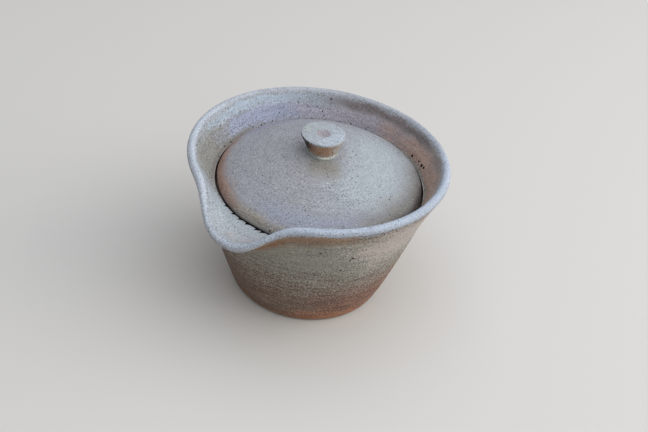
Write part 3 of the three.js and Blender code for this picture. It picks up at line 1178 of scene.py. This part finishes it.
@dataclass
class Lid(Turned):
    """The domed lid, turned, with an edge that turns down and a flat ring that it rests on.

    Its zones are 0 hollow, 1 ring, 2 edge, 3 dome and 4 the pad under the knob.

    Attributes:
        under_start: How far out and up of the ring's outer edge the underside of the edge starts.
        under_height: The height of the handle that bends it.
    """

    name: str = "thrown_lid"
    place: tuple[float, float, float] = (1.12, 0.6, 49.4)
    seed: int = 23
    slack: Pairs = ((0.8, 0.5), (1.0, 0), (2.0, 0), (2.3, 1), (3.9, 1), (4.0, 0))
    radius: float = 43.45
    edge_height: float = 2.55
    edge_undercut: float = 1.4
    edge_turn: float = 4.15
    under_start: tuple[float, float] = (0.6, 0.15)
    under_height: float = 0.3
    shoulder_height: float = 6.8
    rise: float = 9.8
    thickness: float = 4.2
    ring_width: float = 2.6
    hollow_slope: float = 1.8
    pad_radius: float = 6.98
    edge_round: float = 0.4
    marks: tuple[Mark, ...] = (
        Mark(-102.0, 2.85, 0.4),
        Mark(-45.0, 2.45, 0.4),
        Mark(-35.0, 2.5, 0.35),
        Mark(89.0, 3.16, 0.4),
        Mark(8.0, 2.5, 0.5, Grain.IRON),
        Mark(40.0, 3.62, 0.35, Grain.FELDSPAR),
        Mark(-30.0, 3.3, 0.3, Grain.FELDSPAR),
    )

    def dome(self, radius: float | np.ndarray) -> np.ndarray:
        """The domed top.

        Args:
            radius: One radius or more.

        Returns:
            The point at each radius.
        """
        radius = np.asarray(radius, float)
        share = radius / (self.radius - self.edge_turn)
        return np.stack([radius, self.shoulder_height + self.rise * (1 - share**2)], axis=-1)

    def section(self, angle: np.ndarray) -> Section:
        """The lid's profile, standing on its ring.

        Args:
            angle: Not used, because the profile is the same at every angle.

        Returns:
            The profile, whose stretches are the lid's zones.
        """
        outer = self.radius - self.edge_undercut
        inner = outer - self.ring_width
        under_dome = self.dome(np.linspace(0.0, inner - self.hollow_slope, num=24))
        hollow = under_dome - np.array([0.0, self.thickness])
        out, up = self.under_start
        ring = rounded([hollow[-1], (inner, 0.0), (outer, 0.0), (outer + out, up)], self.edge_round)
        edge = np.array([self.radius, self.edge_height])
        shoulder = self.dome(self.radius - self.edge_turn)
        fall = 2 * self.rise * self.edge_turn / (self.radius - self.edge_turn)
        under = bezier([ring[-1], (self.radius, self.under_height), edge], steps=10)
        over = bezier([edge, (self.radius, shoulder[1] - fall), shoulder], steps=16)
        dome = self.dome(np.linspace(shoulder[0], self.pad_radius, num=84))
        pad = bezier([dome[-1], (0.0, dome[-1, 1])], steps=4)
        return Section([hollow, ring, np.concatenate([under, over[1:]]), dome, pad])


@dataclass
class Knob(Turned):
    """The knob: it flares from a low foot to a flat top with a thin edge and a dimple.

    Its zones are 0 foot, 1 flare, 2 edge, 3 top and 4 dimple.

    Attributes:
        bead_share: The height of the foot's straight side, as a share of the foot's.
        dimple_flat: The radius of the handle that bends the dimple, as a share of the dimple's.
    """

    name: str = "thrown_knob"
    facets: int = 180
    place: tuple[float, float, float] = (1.12, 0.17, 65.69)
    lean: tuple[float, float] = (-0.75, -0.05)
    seed: int = 37
    slack: Pairs = ((0.9, 0), (1.1, 1))
    radius: float = 9.1
    height: float = 8.9
    foot_radius: float = 6.55
    foot_height: float = 1.3
    foot_round: float = 0.2
    bead_share: float = 1 / 3
    neck_radius: float = 6.3
    flare_bend: tuple[float, float] = (7.3, 4.4)
    edge_thickness: float = 0.85
    edge_round: float = 0.45
    dimple_radius: float = 2.9
    dimple_depth: float = 0.6
    dimple_flat: float = 0.7
    marks: tuple[Mark, ...] = (Mark(80.0, 1.1, 0.3, Grain.FELDSPAR), Mark(-60.0, 3.1, 0.25))

    def section(self, angle: np.ndarray) -> Section:
        """The knob's profile, standing on its foot.

        Args:
            angle: Not used, because the profile is the same at every angle.

        Returns:
            The profile, whose stretches are the knob's zones.
        """
        side = (self.foot_radius, self.foot_height * self.bead_share)
        neck = (self.neck_radius, self.foot_height)
        foot = rounded([(0.0, 0.0), (self.foot_radius, 0.0), side], self.foot_round)
        bead = bezier([side, (self.foot_radius, self.foot_height), neck], steps=6)
        low = (self.radius, self.height - self.edge_thickness)
        flare = bezier([neck, self.flare_bend, low], steps=24)
        high = (self.radius, self.height - self.edge_round)
        corner = (self.radius, self.height)
        edge = bezier([high, corner, (self.radius - self.edge_round, self.height)], steps=5)
        top = bezier([edge[-1], (self.dimple_radius, self.height)], steps=16)
        bottom = self.height - self.dimple_depth
        dimple = bezier([top[-1], (self.dimple_radius * self.dimple_flat, bottom), (0.0, bottom)], steps=10)
        stretches = [np.concatenate([foot, bead[1:]]), flare, np.concatenate([flare[-1:], edge]), top, dimple]
        return Section(stretches)


# The bowl gives the eye a speckled grey ash haze on its upper wall, which thins over brown clay to an
# orange foot, a smooth blue-grey rim, a collar that changes from lilac to warm grey inside, and bare clay
# where the lid kept the ash off, darkened with painted shade on the seat and in the notches. The haze on
# the right of the wall is partly painted light, and a painted highlight runs inside the rim at the back.
BOWL_FIRING = Stoneware(
    "wood_fired_bowl_stoneware",
    "8b7b72",
    (
        Patch("7d6b64", -50, 42, 1.9, 0.95, 0.9),
        Patch("8f6f63", 78, 36, 1.45, 0.4, 0.95),
        Patch("a4a8a2", 40, 78, 2.35, 0.68, 0.95),
        # Paler haze on the right of the wall: partly ash, partly painted light from the window on that side.
        Patch("cdc9c7", 84, 32, 2.5, 0.5, 0.95),
        Patch("ae9985", 24, 34, 2.9, 0.14, 0.85),
        Patch("937560", -4, 34, 2.8, 0.22, 0.95),
        Patch("8f7462", -10, 50, 1.04, 0.08, 0.7),
        Patch("b5846b", 56, 30, 1.06, 0.12, 0.95, 0.9),
        Patch("b5a78f", 25, 60, 1.0, 0.02, 0.9, 0.5),
        Patch("bab8b0", 30, 75, 1.95, 1.0, 0.15, 0.2),
        Patch("a3a3a4", 0, 180, 4.45, 0.6, 1.1, 0.1),
        Patch("979690", -66, 40, 4.5, 0.6, 0.8),
        Patch("857d72", -72, 28, 4.88, 0.16, 0.6),
        Patch("a4abc3", -122, 42, 4.4, 0.32, 0.75),
        Patch("b3aeb8", 178, 42, 4.45, 0.4, 0.85),
        Patch("bba094", 124, 48, 4.45, 0.38, 0.9),
        Patch("cbbcb3", 82, 28, 4.5, 0.4, 0.9),
        # A painted highlight along the inside of the rim at the back left.
        Patch("b1becc", -115, 52, 4.09, 0.1, 0.9, 0.8),
        Patch("867d7d", 172, 44, 4.1, 0.1, 0.8),
        Patch("bfbfb3", 132, 44, 4.86, 0.17, 0.9),
        Patch("a9b1b7", -8, 26, 4.45, 0.9),
        Patch("b5bfc8", -32, 14, 4.3, 0.4, 0.7),
        Patch("aaa6a7", 12, 12, 4.3, 0.5, 0.6),
        Patch("aeb3bc", 0, 180, 3.53, 0.48, fade=0.12),
        Patch("b4bfcf", 60, 80, 3.45, 0.42, 1.0, 0.3),
        Patch("bcc5d0", -50, 55, 3.45, 0.45, 1.0, 0.3),
        # Bare clay on the seat wall and ledge, darkened with painted shade where the gap round the lid lies.
        Patch("4a3d36", 0, 180, 5.38, 0.26, fade=0.15),
        # Painted shade that fills the strainer notches and the seat round them.
        Patch("1d1613", 0, 40, 5.35, 0.3, fade=0.12),
        Patch("9d9a96", 180, 75, 2.6, 0.5, 0.7, 0.9),
        Patch("96705c", -160, 60, 1.1, 0.25, 0.7, 0.9),
    ),
    tooth=(2.5, 0.9),
)
# The lid lay in the open, so an even grey ash haze covers its dome. It gives the eye a finer grain than
# the bowl's, a brown edge where the fire licked round it on the left, a dark olive-brown band on the right
# edge, and painted shade under its edge.
LID_FIRING = Stoneware(
    "wood_fired_lid_stoneware",
    "a0a2a8",
    (
        Patch("a5aaac", -60, 60, 3.6, 0.45, 0.4),
        Patch("aab3b9", 115, 68, 3.45, 0.45, 0.85),
        Patch("8f8c84", 28, 42, 3.9, 0.22, 0.7),
        Patch("9a9fb0", 30, 46, 3.02, 0.2, 0.6),
        Patch("9594a8", -104, 24, 2.97, 0.16, 0.6),
        Patch("9f9990", -20, 34, 2.62, 0.3, 0.9),
        Patch("9b7d70", -56, 36, 2.58, 0.34, 0.95),
        Patch("8d8b87", 98, 44, 2.8, 0.32, 0.9),
        Patch("57514c", 88, 44, 2.5, 0.26, 1.0, 0.9),
        # Painted shade under the lid's edge and on the outer part of the ring it rests on.
        Patch("322a26", 0, 180, 2.1, 0.2, fade=0.3),
    ),
    axis=(1.12, 0.6),
    breaking=(5.0, 1.0),
)
# The knob gives the eye a pale, cool top that caught the most ash, and an orange-brown flare under it
# that the top kept the ash off, with pale ash round its foot. The flare has painted shade on its left and
# is painted paler on its lit right, and the foot has a painted highlight at the front.
KNOB_FIRING = Stoneware(
    "wood_fired_knob_stoneware",
    "abb2b9",
    (
        Patch("a9b3b0", -85, 45, 3.3, 0.5, 0.5),
        Patch("aaabbc", 90, 50, 3.4, 0.5, 0.4),
        Patch("a29ca3", 0, 180, 4.5, 0.5, 0.9, 0.2),
        Patch("b8c3ce", 85, 75, 3.3, 0.7, 0.7),
        Patch("b5937c", 0, 180, 1.5, 0.52, fade=0.1),
        Patch("8f9388", -50, 44, 1.1, 0.3, 0.9),
        # Painted shade under the disc, on the left of the flare.
        Patch("3c302b", -58, 60, 1.85, 0.6, 1.0),
        # Painted light: the flare made paler on its lit right side.
        Patch("b5b0a8", 100, 36, 1.6, 0.5, 0.9),
        Patch("a6aba8", 0, 180, 0.72, 0.4, 1.0, 0.5),
        # A painted highlight on the front of the foot.
        Patch("d2d3cc", 45, 34, 0.85, 0.3, 0.7),
    ),
    axis=(0.75, 0.15),
    warp_turn=8.0,
    warp_zone=0.02,
)


@dataclass(frozen=True)
class Lamp:
    """A soft square lamp that faces the pot.

    Attributes:
        right: Its place to the camera's right of the pot, in metres.
        behind: Its place beyond the pot, in metres.
        height: Its height, in metres.
        size: Its side, in metres.
        power: Its power, in watts.
        colour: Its colour.
    """

    name: str
    right: float
    behind: float
    height: float
    size: float
    power: float
    colour: str


@dataclass
class Studio:
    """The floor, the light and the camera.

    Attributes:
        photo_width: The photograph's width, in pixels.
        elevation: The camera's height above the horizon, in degrees.
        azimuth: The camera's turn round the pot from the lip's side, in degrees.
        roll: The camera's roll, in degrees.
        focal: The focal length, in pixels of the photograph.
        distance: From the camera to the middle of the pot, in millimetres.
        aside: How far the camera stands to its own right of that line, in millimetres.
        above: How far it stands above that line, in millimetres.
        centre: The middle of the pot.
        sensor_width: The width of the camera's sensor, in millimetres.
        nearest: How near the camera sees, in metres.
        lamps: An open sky above, a window at the right and a weaker one nearer the camera.
        aim_height: The height that the lamps face, in metres.
        room_colour: The colour of the even light of the room.
        room_strength: Its strength.
        floor_half: Half the floor's side, in metres.
        floor_look: The floor's colour to the eye.
        floor_bounce: Its colour for the light that it throws back at the pot.
        floor_roughness: Of matt paper, which gives the eye no shine.
    """

    photo_width: int = 648
    elevation: float = 38.11
    azimuth: float = 30.09
    roll: float = 7.67
    focal: float = 900.0
    distance: float = 392.8
    aside: float = -4.71
    above: float = 3.07
    centre: tuple[float, float, float] = (0.0, 0.0, 35.0)
    sensor_width: float = 36.0
    nearest: float = 0.01
    lamps: tuple[Lamp, ...] = (
        Lamp("sky", 0.2, 0.0, 1.3, 2.0, 14.0, "f2f6ff"),
        Lamp("window", 1.1, 0.05, 0.5, 1.0, 7.0, "fffcf6"),
        Lamp("near_window", 0.6, -0.8, 0.9, 1.2, 3.0, "fffcf6"),
    )
    aim_height: float = 0.03
    room_colour: str = "f2f2f2"
    room_strength: float = 0.3
    floor_half: float = 3.0
    floor_look: str = "dcdad6"
    floor_bounce: str = "a99a8c"
    floor_roughness: float = 0.9

    def camera(self) -> None:
        """Sets the camera at the photograph's viewing angle."""
        e, a, roll = (math.radians(x) for x in (self.elevation, self.azimuth, self.roll))
        back = Vector((math.sin(a) * math.cos(e), -math.cos(a) * math.cos(e), math.sin(e)))
        right = Vector((math.cos(a), math.sin(a), 0.0))
        up = back.cross(right)
        turned_right = right * math.cos(roll) + up * math.sin(roll)
        turned_up = up * math.cos(roll) - right * math.sin(roll)
        place = Vector(self.centre) + back * self.distance
        place -= turned_right * self.aside + turned_up * self.above
        data = bpy.data.cameras.new("camera")
        data.sensor_width = self.sensor_width
        data.lens = self.focal * self.sensor_width / self.photo_width
        data.clip_start = self.nearest
        camera = new_piece("camera", data)
        axes = Matrix((turned_right, turned_up, back)).transposed()
        camera.matrix_world = Matrix.Translation(place * MM) @ axes.to_4x4()
        bpy.context.scene.camera = camera

    def floor(self) -> None:
        """Lays a floor that looks pale but throws a darker and warmer light back at the pot."""
        mesh = bpy.data.meshes.new("floor")
        half = self.floor_half
        corners = [(-half, -half, 0), (half, -half, 0), (half, half, 0), (-half, half, 0)]
        mesh.from_pydata(corners, [], [(0, 1, 2, 3)])
        floor = new_piece("floor", mesh)
        material = bpy.data.materials.new("pale_floor_paper")
        material.use_nodes = True
        tree = material.node_tree
        add = partial(add_node, tree)
        path = add("ShaderNodeLightPath")
        seen = path["Is Camera Ray"]
        for ray in ("Is Glossy Ray", "Is Transmission Ray"):
            seen = add(MATHS, {0: seen, 1: path[ray]}, operation="MAXIMUM")[0]
        inputs = {"Factor": seen, 6: linear(self.floor_bounce), 7: linear(self.floor_look)}
        tone = add(MIX, inputs, data_type="RGBA")[2]
        shader = tree.nodes["Principled BSDF"]
        shader.inputs["Roughness"].default_value = self.floor_roughness
        tree.links.new(tone, shader.inputs["Base Color"])
        mesh.materials.append(material)

    def light(self) -> None:
        """Hangs the lamps and lights the world evenly."""
        turn = math.radians(self.azimuth)
        right = Vector((math.cos(turn), math.sin(turn), 0.0))
        behind = Vector((-math.sin(turn), math.cos(turn), 0.0))
        for lamp in self.lamps:
            data = bpy.data.lights.new(lamp.name, "AREA")
            data.size = lamp.size
            data.energy = lamp.power
            data.color = linear(lamp.colour)[:3]
            placed = new_piece(lamp.name, data)
            placed.location = right * lamp.right + behind * lamp.behind + Vector((0, 0, lamp.height))
            aim = Vector((0, 0, self.aim_height)) - placed.location
            placed.rotation_euler = aim.to_track_quat("-Z", "Y").to_euler()
        world = bpy.data.worlds.new("soft_room")
        world.use_nodes = True
        room = world.node_tree.nodes["Background"]
        room.inputs["Color"].default_value = linear(self.room_colour)
        room.inputs["Strength"].default_value = self.room_strength
        bpy.context.scene.world = world


@dataclass
class Pot:
    """The bowl, the lid and its knob, each with its own firing."""

    bowl: Bowl = field(default_factory=Bowl)
    lid: Lid = field(default_factory=Lid)
    knob: Knob = field(default_factory=Knob)
    potter: Potter = field(default_factory=Potter)

    def build(self) -> None:
        """Makes the pieces and joins each to its body in place of its CAD node."""
        for maker, firing, node, body in (
            (self.bowl, BOWL_FIRING, "bowl", "bowl"),
            (self.lid, LID_FIRING, "lid", "lid"),
            (self.knob, KNOB_FIRING, "knob", "lid"),
        ):
            piece = maker.build(self.potter, firing.make())
            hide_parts(node)
            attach(piece, body)
            LOG.info("%s: %d faces", piece.name, len(piece.data.polygons))


def main() -> None:
    """Builds the scene in order."""
    logging.basicConfig(level=logging.INFO, format="%(name)s: %(message)s")
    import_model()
    studio = Studio()
    studio.camera()
    studio.floor()
    studio.light()
    Pot().build()
    bpy.context.scene.view_settings.view_transform = "Standard"


if __name__ == "__main__":
    main()
